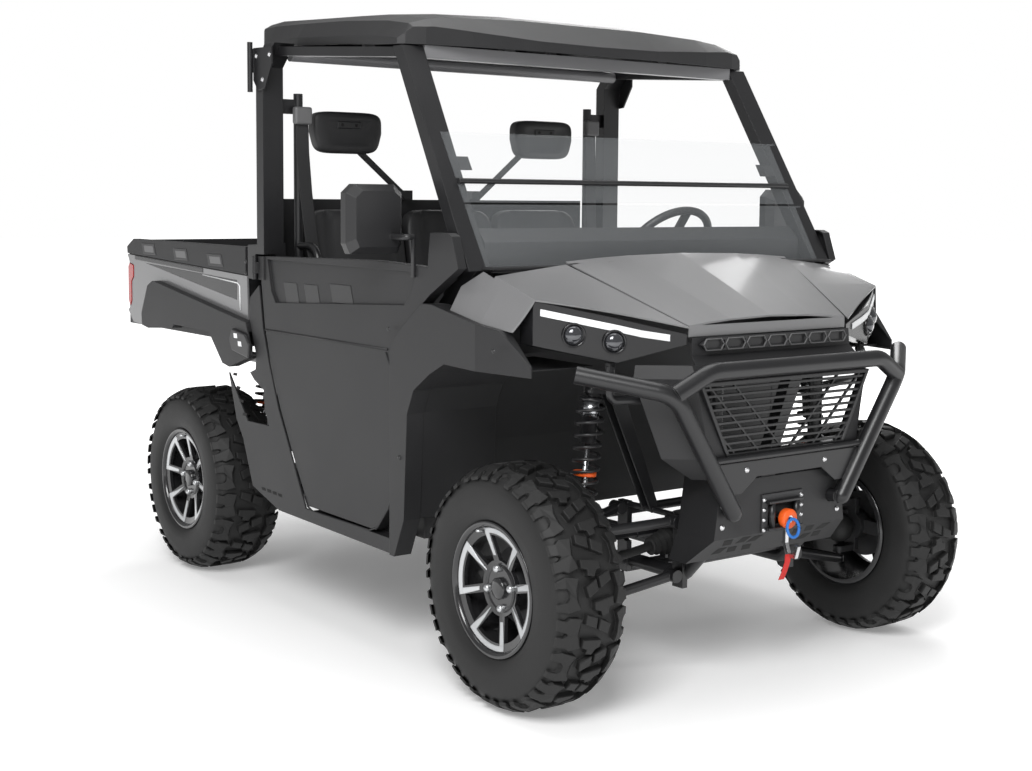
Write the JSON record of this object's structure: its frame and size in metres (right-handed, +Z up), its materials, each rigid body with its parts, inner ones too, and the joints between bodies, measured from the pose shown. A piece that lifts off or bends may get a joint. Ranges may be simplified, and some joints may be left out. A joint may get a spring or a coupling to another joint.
{
  "type": "side by side utility vehicle",
  "caption": "Side by side utility vehicle with open cab, half windscreen, tipping cargo bed, front guard with winch, hinged doors and hood.",
  "frame": {"origin": "floor point below the middle of the vehicle's box", "axes": "+Z up, +Y towards the tail, +X towards the driver's left side"},
  "size_m": [1.906, 3.007, 2.039],
  "materials": {
    "tyre": "matt tread rubber",
    "machined_rim": "gloss black with machined spoke faces",
    "body_paint": "glossy mid grey",
    "black_moulding": "fine grained black",
    "satin_tube": "satin black powder coat",
    "cast_metal": "dull cast",
    "damper_steel": "satin",
    "boot_rubber": "matt",
    "clear_plastic": "clear polycarbonate",
    "black_plastic": "satin black",
    "lamp": "clear lens over a black bezel",
    "red_lamp": "red lens",
    "hook_steel": "zinc plated",
    "seat_vinyl": "black vinyl"
  },
  "bodies": {
    "chassis": {"bumper_guard": "satin_tube", "cab_back_panel": "black_moulding", "cage_crossbars": "satin_tube", "cage_sides": "satin_tube", "chassis_frame": "satin_tube", "cowl": "black_moulding", "dampers": "damper_steel", "dashboard": "black_moulding", "drivetrain": "cast_metal", "fascia": "black_moulding", "floor_pan": "black_moulding", "front_fenders": "body_paint", "front_flares": "black_moulding", "grilles": "black_plastic", "half_shafts": "boot_rubber", "headlamps": "lamp", "muffler": "cast_metal", "nose_skid": "black_moulding", "rear_hub_carriers": "cast_metal", "roof": "black_moulding", "seat_backs": "seat_vinyl", "seat_bars": "satin_tube", "seat_base": "seat_vinyl", "side_panels": "black_moulding", "suspension_arms": "satin_tube", "winch": "cast_metal", "winch_hook": "hook_steel", "windscreen": "clear_plastic", "windscreen_clamps": "black_plastic"},
    "cargo_bed": {"bed_flares": "black_moulding", "bed_side_panels": "body_paint", "bed_tub": "black_moulding", "tail_lamps": "red_lamp"},
    "door_left": {"door_left": "black_moulding", "mirror_left": "black_moulding"},
    "door_right": {"door_right": "black_moulding", "mirror_right": "black_moulding"},
    "hood": {"hood": "body_paint"},
    "wheel_front_left": {"hub_front_left": "cast_metal", "rim_front_left": "machined_rim", "spokes_front_left": "machined_rim", "tyre_front_left": "tyre"},
    "wheel_front_right": {"hub_front_right": "cast_metal", "rim_front_right": "machined_rim", "spokes_front_right": "machined_rim", "tyre_front_right": "tyre"},
    "wheel_rear_left": {"hub_rear_left": "cast_metal", "rim_rear_left": "machined_rim", "spokes_rear_left": "machined_rim", "tyre_rear_left": "tyre"},
    "wheel_rear_right": {"hub_rear_right": "cast_metal", "rim_rear_right": "machined_rim", "spokes_rear_right": "machined_rim", "tyre_rear_right": "tyre"},
    "knuckle_left": {"knuckle_left": "cast_metal"},
    "knuckle_right": {"knuckle_right": "cast_metal"},
    "steering_wheel": {"steering_wheel": "black_plastic"},
    "tailgate": {"tailgate": "black_moulding"},
    "steering_rack": {"tie_rods": "cast_metal"}
  },
  "joints": [
    {"name": "steer_left", "type": "hinge", "parent": "chassis", "child": "knuckle_left", "pos_m": [0.6, -1.1105, 0.343], "axis": [0, 0, 1], "range_deg": [-28, 28]},
    {"name": "steer_right", "type": "hinge", "parent": "chassis", "child": "knuckle_right", "pos_m": [-0.6, -1.1105, 0.343], "axis": [0, 0, 1], "range_deg": [-28, 28]},
    {"name": "wheel_front_left_spin", "type": "hinge", "parent": "knuckle_left", "child": "wheel_front_left", "pos_m": [0.7, -1.1105, 0.343], "axis": [1, 0, 0], "continuous": true},
    {"name": "wheel_rear_left_spin", "type": "hinge", "parent": "chassis", "child": "wheel_rear_left", "pos_m": [0.688, 0.9125, 0.343], "axis": [1, 0, 0], "continuous": true},
    {"name": "wheel_front_right_spin", "type": "hinge", "parent": "knuckle_right", "child": "wheel_front_right", "pos_m": [-0.7, -1.1105, 0.343], "axis": [1, 0, 0], "continuous": true},
    {"name": "wheel_rear_right_spin", "type": "hinge", "parent": "chassis", "child": "wheel_rear_right", "pos_m": [-0.688, 0.9125, 0.343], "axis": [1, 0, 0], "continuous": true},
    {"name": "steering_wheel_turn", "type": "hinge", "parent": "chassis", "child": "steering_wheel", "pos_m": [0.358, -0.5025, 1.24], "axis": [0, 0.788, 0.6157], "range_deg": [-260, 260]},
    {"name": "rack_slide", "type": "slide", "parent": "chassis", "child": "steering_rack", "axis": [1, 0, 0], "range_m": [-0.052, 0.052]},
    {"name": "door_left_swing", "type": "hinge", "parent": "chassis", "child": "door_left", "pos_m": [0.792, 0.3155, 1.165], "axis": [0, 0, 1], "range_deg": [0, 75]},
    {"name": "door_right_swing", "type": "hinge", "parent": "chassis", "child": "door_right", "pos_m": [-0.792, 0.3155, 1.165], "axis": [0, 0, -1], "range_deg": [0, 75]},
    {"name": "bed_tip", "type": "hinge", "parent": "chassis", "child": "cargo_bed", "pos_m": [0, 1.3525, 0.8], "axis": [-1, 0, 0], "range_deg": [0, 45]},
    {"name": "tailgate_drop", "type": "hinge", "parent": "cargo_bed", "child": "tailgate", "pos_m": [0, 1.4775, 0.905], "axis": [-1, 0, 0], "range_deg": [0, 90]},
    {"name": "hood_lift", "type": "hinge", "parent": "chassis", "child": "hood", "pos_m": [0, -0.9905, 1.222], "axis": [-1, 0, 0], "range_deg": [0, 50]}
  ],
  "couplings": [
    {"joint": "steer_right", "follows": "steer_left", "ratio": 1},
    {"joint": "steering_wheel_turn", "follows": "steer_left", "ratio": 9},
    {"joint": "rack_slide", "follows": "steer_left", "m_per_rad": -0.101}
  ]
}
